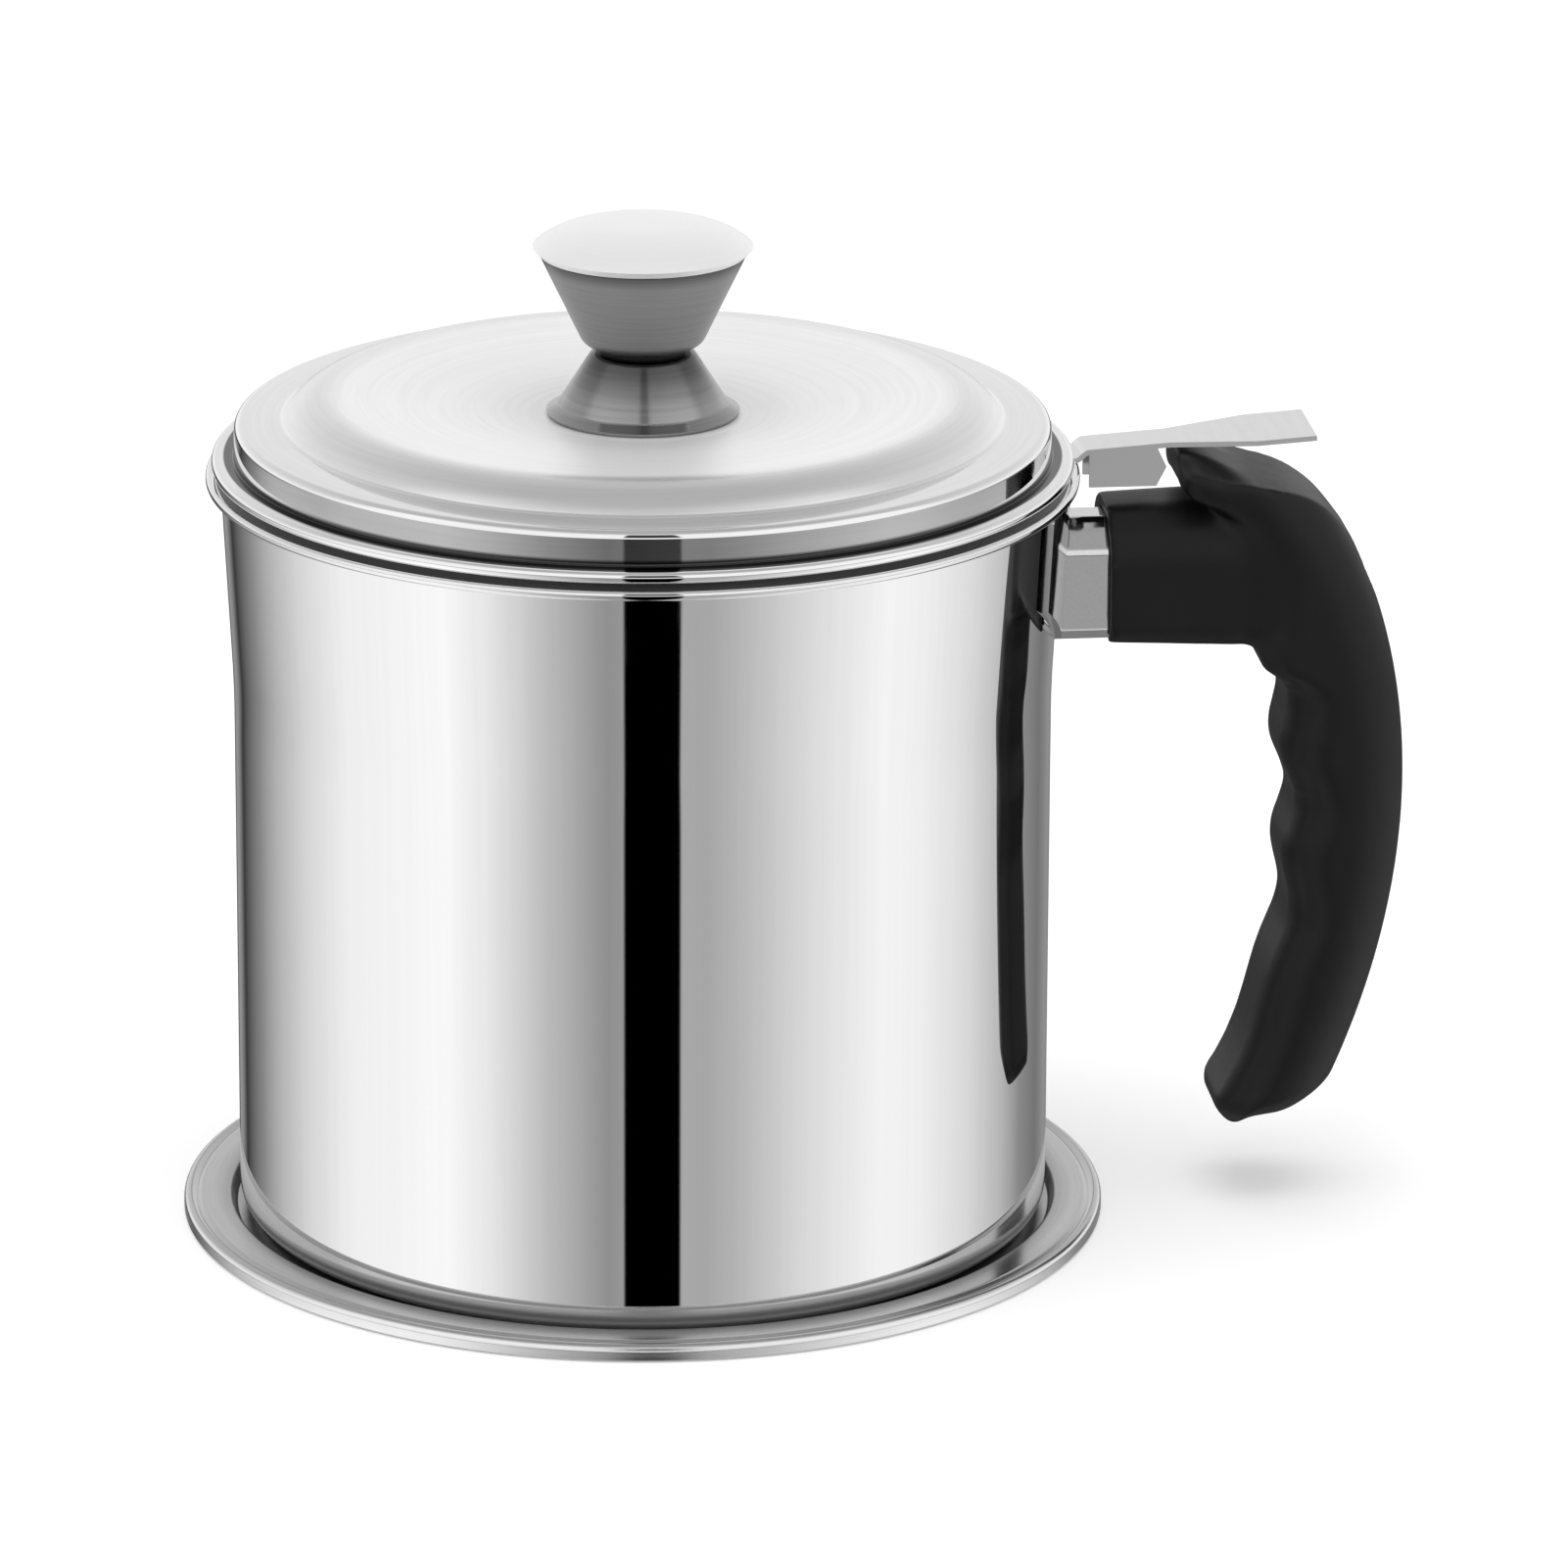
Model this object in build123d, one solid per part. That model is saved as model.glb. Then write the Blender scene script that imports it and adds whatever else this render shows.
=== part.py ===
from build123d import *
import math
import os

# A covered steel pot for keeping strained frying fat.  It stands in a drip
# tray, a wire-cloth strainer hangs in its mouth and a lid rests on the
# strainer's flange.  Lengths are in millimetres.  The origin is the centre of
# the tray's underside, +Z is up and the handle points along +X.

# How far a cutting shape runs past what it cuts
OVERRUN = 1.0

# Drip tray
TRAY_SHEET = 0.6
TRAY_HEIGHT = 2.6
TRAY_RISER_RUN = 0.8
TRAY_BAND_WIDTH = 4.6
TRAY_GROOVE_WIDTH = 1.5
TRAY_GROOVE_DEPTH = 0.45
TRAY_EDGE_WIDTH = 1.2
TRAY_EDGE_GAP = 0.3
TRAY_BEND = 0.5
TRAY_GROOVE_BEND = 0.4
TRAY_EDGE_BEND = 0.8
TRAY_CLEARANCE = 1.1

# Pot
POT_SHEET = 0.8
POT_RADIUS = 60.1
POT_HEIGHT = 113.1
POT_FOOT_RADIUS = 4.0
POT_FLARE = 1.7
POT_FLARE_HEIGHT = 32.4
POT_FLARE_BLEND = 150.0
POT_RIM_THICKNESS = 1.4
POT_RIM_WIDTH = 2.1

# Handle bracket: a plate wrapped on the wall with a hollow neck
PLATE_SHEET = 1.0
PLATE_HALF_ANGLE = 24.0
PLATE_HEIGHT = 24.0
PLATE_SHOULDER = 13.4
PLATE_CORNER = 2.0
PLATE_FLANK = 1.0
PLATE_FOOT_RISE = 1.2
NECK_WIDTH = 16.0
NECK_HEIGHT = 17.8
NECK_TOP_WIDTH = 5.2
NECK_BEVEL_DROP = 3.7
NECK_CORNER = 2.2
NECK_EDGE_RADIUS = 1.4
NECK_LENGTH = 14.0
NECK_SHOWING = 6.1
NECK_DROP = 17.4

# Grip: reach is from the pot's wall, drop is from the neck's axis
GRIP_WIDTH = 23.4
GRIP_REACH = 52.0
GRIP_DROP = 83.4
GRIP_BACK_RADIUS = 8.0
GRIP_EDGE_RADIUS = 3.0
GRIP_CREST_START = 19.0
GRIP_ARM_WIDTH = 21.0
GRIP_ARM_LENGTH = 28.9
GRIP_ARM_ABOVE = 10.8
GRIP_ARM_BELOW = 8.9
GRIP_ARM_SPREAD = 1.0
GRIP_ARM_TOP_RADIUS = 7.5
SOCKET_CLEARANCE = 0.15
SOCKET_END_GAP = 0.5
GRIP_SCREW_SEAT = 32.5

# Handle screw
SCREW_RADIUS = 2.5
SCREW_HEAD_RADIUS = 4.2
SCREW_HEAD_HEIGHT = 3.2
SCREW_SLOT_WIDTH = 1.2
SCREW_SLOT_DEPTH = 1.4
SCREW_HOLE_CLEARANCE = 0.25
SCREW_END_MARGIN = 2.0
WASHER_THICKNESS = 1.0
WASHER_SPLIT = 0.8
PLUG_LENGTH = 7.5
PLUG_INSET = 1.0

# Strainer
STRAINER_SHEET = 0.76
STRAINER_FLANGE_OVERLAP = 0.6
STRAINER_CLEARANCE = 1.4
STRAINER_WALL_HEIGHT = 13.0
STRAINER_BEND = 0.6
MESH_THICKNESS = 0.5
MESH_COLLAR_HEIGHT = 4.0
MESH_DEPTH = 22.0
MESH_SLOPE_WIDTH = 12.6
MESH_KNEE_RADIUS = 16.0
MESH_COLLAR_BEND = 1.2
BAND_SHEET = 0.6
BAND_HEIGHT = 3.4

# Strainer handle: a bent strip that lies over the grip
STRIP_ROOT_WIDTH = 7.7
STRIP_END_WIDTH = 14.6
STRIP_LENGTH = 38.5
STRIP_TAPER_START = 12.5
STRIP_TAPER_LENGTH = 12.3
STRIP_BEND = 0.9
STRIP_STEP_BEND = 1.2
STRIP_LEG_HEIGHT = 7.6
STRIP_STEP_GAP = 0.6
STRIP_STEP_UP = 1.25
STRIP_STEP_RUN = 1.4
STRIP_SLOPE = 3.87
STRIP_SKIRT_GAP = 0.4
STRIP_SKIRT_DROP = 5.0
STRIP_SKIRT_LENGTH = 11.4
STRIP_SKIRT_POINT = 1.5
STRIP_CLEARANCE = 0.7

# Lid
LID_SHEET = 0.7
LID_OVERLAP = 1.2
LID_BRIM_WIDTH = 3.1
LID_BRIM_THICKNESS = 1.75
LID_HEM_WIDTH = 2.1
LID_WALL_RISE = 5.1
LID_WALL_DRAFT = 0.3
LID_LEDGE_WIDTH = 7.3
LID_LEDGE_RISE = 0.5
LID_STEP_RUN = 3.2
LID_STEP_RISE = 3.8
LID_KNOB_SEAT_RADIUS = 16.0
LID_FLOOR_RISE = 5.9
LID_DISH_BEND = 12.0
LID_CREST_BEND = 8.0
LID_VALLEY_BEND = 1.2
LID_SHOULDER_BEND = 0.8
LID_BRIM_BEND = 0.5
PLUG_RING_CLEARANCE = 0.8
PLUG_RING_DEPTH = 4.0
PLUG_RING_BEND = 0.5

# Knob
KNOB_SKIRT_RADIUS = 14.3
KNOB_LIP_WIDTH = 1.7
KNOB_LIP_RISE = 1.3
KNOB_LIP_BEND = 1.2
KNOB_SKIRT_BEND = 1.1
KNOB_SKIRT_TOP_RADIUS = 7.6
KNOB_SKIRT_HEIGHT = 9.4
KNOB_SHEET = 0.6
KNOB_COLLAR_RADIUS = 6.2
KNOB_COLLAR_HEIGHT = 0.8
KNOB_CUP_BASE_RADIUS = 8.6
KNOB_CUP_RADIUS = 15.1
KNOB_CUP_HEIGHT = 13.9
KNOB_CUP_BEND = 2.4
KNOB_CAP_RADIUS = 16.1
KNOB_CAP_EDGE = 1.0
KNOB_CAP_RISE = 3.6
KNOB_SCREW_RADIUS = 2.0
KNOB_SCREW_HEAD_RADIUS = 3.8
KNOB_SCREW_HEAD_HEIGHT = 2.2
KNOB_WASHER_RADIUS = 6.0
KNOB_WASHER_THICKNESS = 0.8
KNOB_NUT_WIDTH = 7.0
KNOB_NUT_HEIGHT = 3.2
KNOB_SCREW_TAIL = 2.0

# Levels and radii that follow from the sizes above
POT_BOTTOM = TRAY_SHEET
POT_TOP = POT_BOTTOM + POT_HEIGHT
POT_MOUTH_RADIUS = POT_RADIUS + POT_FLARE
POT_FLARE_START = POT_TOP - POT_FLARE_HEIGHT
NECK_AXIS = POT_TOP - NECK_DROP
STRAINER_WALL_RADIUS = POT_MOUTH_RADIUS - POT_SHEET - STRAINER_CLEARANCE
LID_BRIM_RADIUS = POT_MOUTH_RADIUS + LID_OVERLAP
LID_WALL_RADIUS = LID_BRIM_RADIUS - LID_BRIM_WIDTH
LID_SEAT = POT_TOP + STRAINER_SHEET
LID_BRIM_TOP = LID_SEAT + LID_BRIM_THICKNESS
LID_FLOOR = LID_BRIM_TOP + LID_FLOOR_RISE
SKIRT_TOP = LID_FLOOR + KNOB_SKIRT_HEIGHT
CUP_BOTTOM = SKIRT_TOP + KNOB_COLLAR_HEIGHT
CUP_TOP = CUP_BOTTOM + KNOB_CUP_HEIGHT
HOLE_RADIUS = KNOB_SCREW_RADIUS + SCREW_HOLE_CLEARANCE


def wall_radius(height):
    """Outside radius of the pot's wall at a height."""
    opening = max(0.0, height - POT_FLARE_START) / POT_FLARE_HEIGHT
    return POT_RADIUS + POT_FLARE * opening


def beside(points, radii, shift):
    """Filleted line that runs to the left of a centre line, or right if shift is negative."""
    places = [Vector(*point) for point in points]
    runs = [(after - before).normalized() for before, after in zip(places, places[1:])]
    normals = [Vector(-run.Y, run.X) for run in runs]
    corners = [places[0] + normals[0] * shift]
    bends = []
    for place, before, after, radius in zip(places[1:], normals, normals[1:], radii):
        mitre = before + after
        corners.append(place + mitre * (shift / mitre.dot(before)))
        bends.append(radius - math.copysign(shift, shift * before.cross(after).Z))
    corners.append(places[-1] + normals[-1] * shift)
    return FilletPolyline(*corners, radius=bends)


def sheet(points, radii, thickness):
    """Section of bent sheet along a filleted centre line of (radius, height) points."""
    left = beside(points, radii, thickness / 2)
    right = beside(points, radii, -thickness / 2)
    ends = [Line(left @ 0, right @ 0), Line(left @ 1, right @ 1)]
    return Plane.XZ * make_face(left.edges() + right.edges() + ends)


def turned(section):
    """Solid of revolution about the pot's axis."""
    return revolve(section, Axis.Z)


def ring(inner, outer, bottom, height):
    """Plain ring standing on a level."""
    body = Cylinder(outer, height) - Cylinder(inner, height)
    return Pos(0, 0, bottom + height / 2) * body


def along_x(section, start, length):
    """Sketch drawn as (side, up), pushed outwards along +X from a start radius."""
    return extrude(Plane.YZ.offset(start) * section, length, dir=(1, 0, 0))


def strip_line():
    """Centre line of the strainer handle from its weld to its free end."""
    half = STRAINER_SHEET / 2
    leg = STRAINER_WALL_RADIUS + half
    tongue = POT_TOP + half
    step = LID_BRIM_RADIUS + STRIP_STEP_GAP
    run = STRIP_LENGTH - (step - leg) - STRIP_STEP_RUN
    rise = run * math.tan(math.radians(STRIP_SLOPE))
    upper = tongue + STRIP_STEP_UP
    return [
        (leg, tongue - STRIP_LEG_HEIGHT),
        (leg, tongue),
        (step, tongue),
        (step + STRIP_STEP_RUN, upper),
        (step + STRIP_STEP_RUN + run, upper + rise),
    ]


def strip_underside(radius):
    """Height of the strainer handle's underside over the grip."""
    bend = strip_line()[3]
    slope = math.tan(math.radians(STRIP_SLOPE))
    return bend[1] + (radius - bend[0]) * slope - STRAINER_SHEET / 2


def drip_tray():
    """Pressed tray: a flat well, a raised band, a groove and a turned-down edge."""
    half = TRAY_SHEET / 2
    well = POT_RADIUS + TRAY_CLEARANCE
    top = TRAY_HEIGHT - half
    band = well + TRAY_BAND_WIDTH
    groove_end = band + TRAY_GROOVE_WIDTH
    edge = groove_end + TRAY_EDGE_WIDTH - half
    centre_line = [
        (0, half),
        (well - TRAY_RISER_RUN / 2, half),
        (well + TRAY_RISER_RUN / 2, top),
        (band, top),
        ((band + groove_end) / 2, top - TRAY_GROOVE_DEPTH),
        (groove_end, top),
        (edge, top),
        (edge, TRAY_EDGE_GAP),
    ]
    bends = [TRAY_BEND] * 3 + [TRAY_GROOVE_BEND] * 2 + [TRAY_EDGE_BEND]
    return turned(sheet(centre_line, bends, TRAY_SHEET))


def pot_body():
    """Drawn pot with a rounded foot, a slightly opening mouth and a folded rim."""
    half = POT_SHEET / 2
    wall = POT_RADIUS - half
    rim_middle = POT_TOP - POT_RIM_THICKNESS / 2
    centre_line = [
        (0, POT_BOTTOM + half),
        (wall, POT_BOTTOM + half),
        (wall, POT_FLARE_START),
        (wall_radius(rim_middle) - half, rim_middle),
    ]
    shell = sheet(centre_line, [POT_FOOT_RADIUS - half, POT_FLARE_BLEND], POT_SHEET)
    inner = POT_MOUTH_RADIUS - POT_SHEET
    outer = POT_MOUTH_RADIUS + POT_RIM_WIDTH
    rim = Pos((inner + outer) / 2, rim_middle) * Rectangle(outer - inner, POT_RIM_THICKNESS)
    round_corners = rim.vertices().group_by(Axis.X)[-1]
    rim = fillet(round_corners, POT_RIM_THICKNESS * 0.49)
    top_inner = rim.vertices().group_by(Axis.X)[0].sort_by(Axis.Y)[-1]
    rim = fillet(top_inner, POT_SHEET / 2)
    return turned(shell + Plane.XZ * rim)


def neck_section(grow):
    """Outline of the bracket's neck, grown or shrunk all round."""
    side = NECK_WIDTH / 2
    top = NECK_HEIGHT / 2
    outline = Polygon(
        (-NECK_TOP_WIDTH / 2, top),
        (NECK_TOP_WIDTH / 2, top),
        (side, top - NECK_BEVEL_DROP),
        (side, NECK_CORNER - top),
        (side - NECK_CORNER, -top),
        (NECK_CORNER - side, -top),
        (-side, NECK_CORNER - top),
        (-side, top - NECK_BEVEL_DROP),
        align=None,
    )
    outline = offset(fillet(outline.vertices(), NECK_EDGE_RADIUS), grow, kind=Kind.ARC)
    return Pos(0, NECK_AXIS) * outline


def neck_root():
    """Radius of the wall where the neck leaves it."""
    return wall_radius(NECK_AXIS)


def grip_start():
    """Radius at which the grip's inner end stands."""
    return neck_root() + PLATE_SHEET + NECK_SHOWING


def handle_bracket():
    """Plate that follows the pot's wall, with a hollow neck drawn out of it."""
    plate_top = NECK_AXIS - NECK_HEIGHT / 2 + PLATE_HEIGHT
    plate_bottom = NECK_AXIS - NECK_HEIGHT / 2 + PLATE_FOOT_RISE
    band = Plane.XZ * Polygon(
        (wall_radius(plate_bottom), plate_bottom),
        (wall_radius(plate_bottom) + PLATE_SHEET, plate_bottom),
        (wall_radius(plate_top) + PLATE_SHEET, plate_top),
        (wall_radius(plate_top), plate_top),
        align=None,
    )
    wrapped = Rot(0, 0, -PLATE_HALF_ANGLE) * revolve(band, Axis.Z, 2 * PLATE_HALF_ANGLE)
    reach = wall_radius(plate_top) * math.sin(math.radians(PLATE_HALF_ANGLE)) + OVERRUN
    foot = NECK_WIDTH / 2 + PLATE_FLANK
    shield = Polygon(
        (-reach, plate_top),
        (reach, plate_top),
        (reach, plate_top - PLATE_SHOULDER),
        (foot, plate_bottom),
        (-foot, plate_bottom),
        (-reach, plate_top - PLATE_SHOULDER),
        align=None,
    )
    shield = fillet(shield.vertices(), PLATE_CORNER)
    plate = wrapped & along_x(shield, neck_root() / 2, neck_root())
    tube_start = neck_root() - NECK_WIDTH / 2
    tube_length = neck_root() - tube_start + NECK_LENGTH
    tube = along_x(neck_section(0), tube_start, tube_length)
    low = NECK_AXIS - NECK_HEIGHT / 2 - OVERRUN
    high = plate_top + OVERRUN
    pot_space = turned(
        Plane.XZ
        * Polygon((0, low), (wall_radius(low), low), (wall_radius(high), high), (0, high), align=None)
    )
    bore = along_x(neck_section(-PLATE_SHEET), tube_start, tube_length)
    return plate + (tube - pot_space) - bore - pot_body()


def bracket_plug():
    """Threaded block welded in the mouth of the neck."""
    start = neck_root() + NECK_LENGTH - PLUG_INSET - PLUG_LENGTH
    block = along_x(neck_section(-PLATE_SHEET), start, PLUG_LENGTH)
    return block - along_x(Pos(0, NECK_AXIS) * Circle(SCREW_RADIUS), start, PLUG_LENGTH)


def grip_point(out, down):
    """Outline point: shares of the grip's reach and drop, from the neck's root."""
    return (neck_root() + out * GRIP_REACH, NECK_AXIS - down * GRIP_DROP)


def grip_elbow():
    """Corner where the arm's underside meets the finger side."""
    return (neck_root() + GRIP_ARM_LENGTH, NECK_AXIS - GRIP_ARM_BELOW - GRIP_ARM_SPREAD)


def side_edges(solid, half_width):
    """Edges round the two flat sides of a solid that stands across the Y axis."""
    return solid.edges().filter_by(lambda edge: abs(abs(edge.center().Y) - half_width) < 0.01)


def grip_body():
    """Upright part of the grip: finger hollows inside, a full round back outside."""
    finger_side = Spline(
        grip_point(0.580, 0.162),
        grip_point(0.658, 0.240),
        grip_point(0.638, 0.320),
        grip_point(0.686, 0.412),
        grip_point(0.649, 0.510),
        grip_point(0.674, 0.602),
        grip_point(0.625, 0.710),
        grip_point(0.560, 0.853),
        grip_point(0.476, 0.966),
    )
    tip = TangentArc(finger_side @ 1, grip_point(0.540, 1.004), tangent=finger_side % 1)
    heel = grip_point(0.818, 0.924)
    underside = Spline(
        tip @ 1, grip_point(0.640, 0.990), grip_point(0.733, 0.965), heel, tangents=[tip % 1, (0.6, 0.9)]
    )
    back = Spline(
        heel,
        grip_point(0.933, 0.712),
        grip_point(1.000, 0.404),
        grip_point(0.968, 0.176),
        grip_point(0.841, -0.058),
        grip_point(0.665, -0.221),
        grip_point(0.345, -0.302),
        tangents=[(0.42, 1.0), (-1.0, -0.1)],
    )
    head = Spline(
        back @ 1,
        grip_point(0.350, -0.165),
        grip_point(0.500, -0.115),
        grip_point(0.605, -0.010),
        grip_point(0.605, 0.101),
        grip_elbow(),
        tangents=[(0.0, -1.0), (-0.1, -1.0)],
    )
    outline = [finger_side, tip, underside, back, head, Line(grip_elbow(), finger_side @ 0)]
    body = extrude(Plane.XZ * make_face(outline), GRIP_WIDTH / 2, both=True)
    body = fillet(side_edges(body, GRIP_WIDTH / 2).sort_by(Edge.length)[-2:], GRIP_BACK_RADIUS)
    below_head = side_edges(body, GRIP_WIDTH / 2).filter_by(
        lambda edge: edge.center().Z < NECK_AXIS and edge.length < GRIP_DROP
    )
    return fillet(below_head, GRIP_EDGE_RADIUS)


def grip_arm():
    """Arm from the upright part to the bracket, a little narrower than the body."""
    arm_top = NECK_AXIS + GRIP_ARM_ABOVE
    arm_end = grip_point(0.640, 0)[0]
    outline = [
        (grip_start(), NECK_AXIS - GRIP_ARM_BELOW),
        grip_elbow(),
        grip_point(0.660, 0.115),
        grip_point(0.680, 0.020),
        (arm_end, arm_top + GRIP_ARM_SPREAD),
        (grip_start(), arm_top),
    ]
    arm = extrude(Plane.XZ * make_face(Polyline(*outline, close=True)), GRIP_ARM_WIDTH / 2, both=True)
    rows = side_edges(arm, GRIP_ARM_WIDTH / 2).filter_by(
        lambda edge: grip_start() + 0.01 < edge.center().X < grip_elbow()[0]
    )
    arm = fillet(rows.group_by(Axis.Z)[-1], GRIP_ARM_TOP_RADIUS)
    rows = side_edges(arm, GRIP_ARM_WIDTH / 2).filter_by(
        lambda edge: grip_start() + 0.01 < edge.center().X < grip_elbow()[0]
    )
    return fillet(rows.group_by(Axis.Z)[0], GRIP_EDGE_RADIUS)


def above_grip():
    """Everything over the grip's crest, which lies under the strainer handle, and its sloping top."""
    crest_start = neck_root() + GRIP_CREST_START
    crest = strip_underside(crest_start) - STRIP_CLEARANCE
    slope = Spline(
        grip_point(1.060, -0.030),
        grip_point(0.821, -0.078),
        grip_point(0.763, -0.122),
        grip_point(0.645, -0.166),
        grip_point(0.524, -0.186),
        grip_point(0.453, -0.208),
        (crest_start, crest),
    )
    ceiling = crest + GRIP_DROP
    outline = [
        slope,
        Polyline((crest_start, crest), (neck_root(), crest), (neck_root(), ceiling)),
        Polyline((neck_root(), ceiling), ((slope @ 0).X, ceiling), slope @ 0),
    ]
    return extrude(Plane.XZ * make_face(outline), GRIP_WIDTH, both=True)


def grip_screw_seat():
    """Radius of the ledge in the grip that the screw's washer stands on."""
    return neck_root() + GRIP_SCREW_SEAT


def handle_grip():
    """Moulded grip with finger hollows, a socket for the neck and a sunk screw hole."""
    solid = grip_body() + grip_arm() - above_grip()
    start = grip_start()
    socket_end = neck_root() + NECK_LENGTH + SOCKET_END_GAP
    socket_start = start - OVERRUN
    socket = along_x(neck_section(SOCKET_CLEARANCE), socket_start, socket_end - socket_start)
    screw_centre = Pos(0, NECK_AXIS)
    hole_radius = SCREW_RADIUS + SCREW_HOLE_CLEARANCE
    sunk_radius = SCREW_HEAD_RADIUS + 2 * SCREW_HOLE_CLEARANCE
    hole = along_x(screw_centre * Circle(hole_radius), start, grip_screw_seat() - start)
    sunk = along_x(screw_centre * Circle(sunk_radius), grip_screw_seat(), GRIP_REACH)
    return solid - socket - hole - sunk


def handle_washer():
    """Split spring washer under the handle screw's head."""
    section = Pos(0, NECK_AXIS) * (
        Circle(SCREW_HEAD_RADIUS) - Circle(SCREW_RADIUS + SCREW_HOLE_CLEARANCE)
    )
    split = Pos(0, NECK_AXIS + SCREW_HEAD_RADIUS) * Rectangle(
        WASHER_SPLIT, 2 * SCREW_HEAD_RADIUS
    )
    return along_x(section - split, grip_screw_seat(), WASHER_THICKNESS)


def handle_screw():
    """Slotted screw that draws the grip against the bracket."""
    centre = Pos(0, NECK_AXIS)
    head_start = grip_screw_seat() + WASHER_THICKNESS
    tail = neck_root() + NECK_LENGTH - PLUG_INSET - PLUG_LENGTH - SCREW_END_MARGIN
    shank = along_x(centre * Circle(SCREW_RADIUS), tail, head_start - tail)
    head = along_x(centre * Circle(SCREW_HEAD_RADIUS), head_start, SCREW_HEAD_HEIGHT)
    head = fillet(head.edges().group_by(Axis.X)[-1], SCREW_HEAD_HEIGHT / 4)
    slot = along_x(
        centre * Rectangle(SCREW_SLOT_WIDTH, 3 * SCREW_HEAD_RADIUS),
        head_start + SCREW_HEAD_HEIGHT - SCREW_SLOT_DEPTH,
        SCREW_SLOT_DEPTH,
    )
    return shank + (head - slot)


def strainer_rim():
    """Flanged ring that hangs the strainer in the pot's mouth."""
    half = STRAINER_SHEET / 2
    wall = STRAINER_WALL_RADIUS - half
    flange = POT_MOUTH_RADIUS + STRAINER_FLANGE_OVERLAP
    centre_line = [
        (flange, POT_TOP + half),
        (wall, POT_TOP + half),
        (wall, POT_TOP - STRAINER_WALL_HEIGHT),
    ]
    body = turned(sheet(centre_line, [STRAINER_BEND], STRAINER_SHEET))
    notch_length = flange - STRAINER_WALL_RADIUS + OVERRUN
    notch = Pos(STRAINER_WALL_RADIUS + notch_length / 2, 0, POT_TOP + half) * Box(
        notch_length, STRIP_ROOT_WIDTH, 2 * STRAINER_SHEET
    )
    return body - notch


def strainer_mesh():
    """Bowl of wire cloth as one closed skin, with a collar clamped in the ring."""
    middle = STRAINER_WALL_RADIUS - STRAINER_SHEET - MESH_THICKNESS / 2
    collar_bottom = POT_TOP - STRAINER_WALL_HEIGHT
    centre_line = [
        (0, collar_bottom - MESH_DEPTH),
        (middle - MESH_SLOPE_WIDTH, collar_bottom - MESH_DEPTH),
        (middle, collar_bottom),
        (middle, collar_bottom + MESH_COLLAR_HEIGHT),
    ]
    return turned(sheet(centre_line, [MESH_KNEE_RADIUS, MESH_COLLAR_BEND], MESH_THICKNESS))


def mesh_band():
    """Inner band that pinches the wire cloth against the ring."""
    outer = STRAINER_WALL_RADIUS - STRAINER_SHEET - MESH_THICKNESS
    top = POT_TOP - STRAINER_WALL_HEIGHT + MESH_COLLAR_HEIGHT
    return ring(outer - BAND_SHEET, outer, top - BAND_HEIGHT, BAND_HEIGHT)


def strainer_handle():
    """Bent strip welded outside the strainer's ring, with two stiffening skirts."""
    line = strip_line()
    side_view = sheet(line, [STRIP_BEND, STRIP_STEP_BEND, STRIP_STEP_BEND], STRAINER_SHEET)
    bent = extrude(side_view, STRIP_END_WIDTH / 2 + OVERRUN, both=True)
    inner = STRAINER_WALL_RADIUS
    back = inner - 2 * STRAINER_SHEET
    end = line[-1][0] + OVERRUN
    taper_start = line[3][0] + STRIP_TAPER_START
    taper_end = taper_start + STRIP_TAPER_LENGTH
    root = STRIP_ROOT_WIDTH / 2
    tip = STRIP_END_WIDTH / 2
    plan = Polygon(
        (back, -root),
        (taper_start, -root),
        (taper_end, -tip),
        (end, -tip),
        (end, tip),
        (taper_end, tip),
        (taper_start, root),
        (back, root),
        align=None,
    )
    bottom = line[0][1] - OVERRUN
    top = line[-1][1] + STRAINER_SHEET + OVERRUN
    blank = Pos(0, 0, bottom) * extrude(plan, top - bottom, dir=(0, 0, 1))
    ring_space = Pos(0, 0, bottom) * Cylinder(
        inner, POT_TOP - bottom, align=(Align.CENTER, Align.CENTER, Align.MIN)
    )
    strip = (bent & blank) - ring_space
    skirt_start = line[3][0] + STRIP_SKIRT_GAP
    skirt_end = skirt_start + STRIP_SKIRT_LENGTH
    shoulder = skirt_end - STRIP_SKIRT_POINT
    low = strip_underside(skirt_start) - STRIP_SKIRT_DROP
    side = Polygon(
        (skirt_start, low),
        (shoulder, low),
        (skirt_end, (low + strip_underside(skirt_end)) / 2),
        (shoulder, strip_underside(shoulder) + STRAINER_SHEET / 2),
        (skirt_start, strip_underside(skirt_start) + STRAINER_SHEET / 2),
        align=None,
    )
    skirt = extrude(Plane.XZ * side, STRAINER_SHEET, dir=(0, 1, 0))
    for place in (-root, root - STRAINER_SHEET):
        strip += Pos(0, place, 0) * skirt
    return strip


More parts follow.
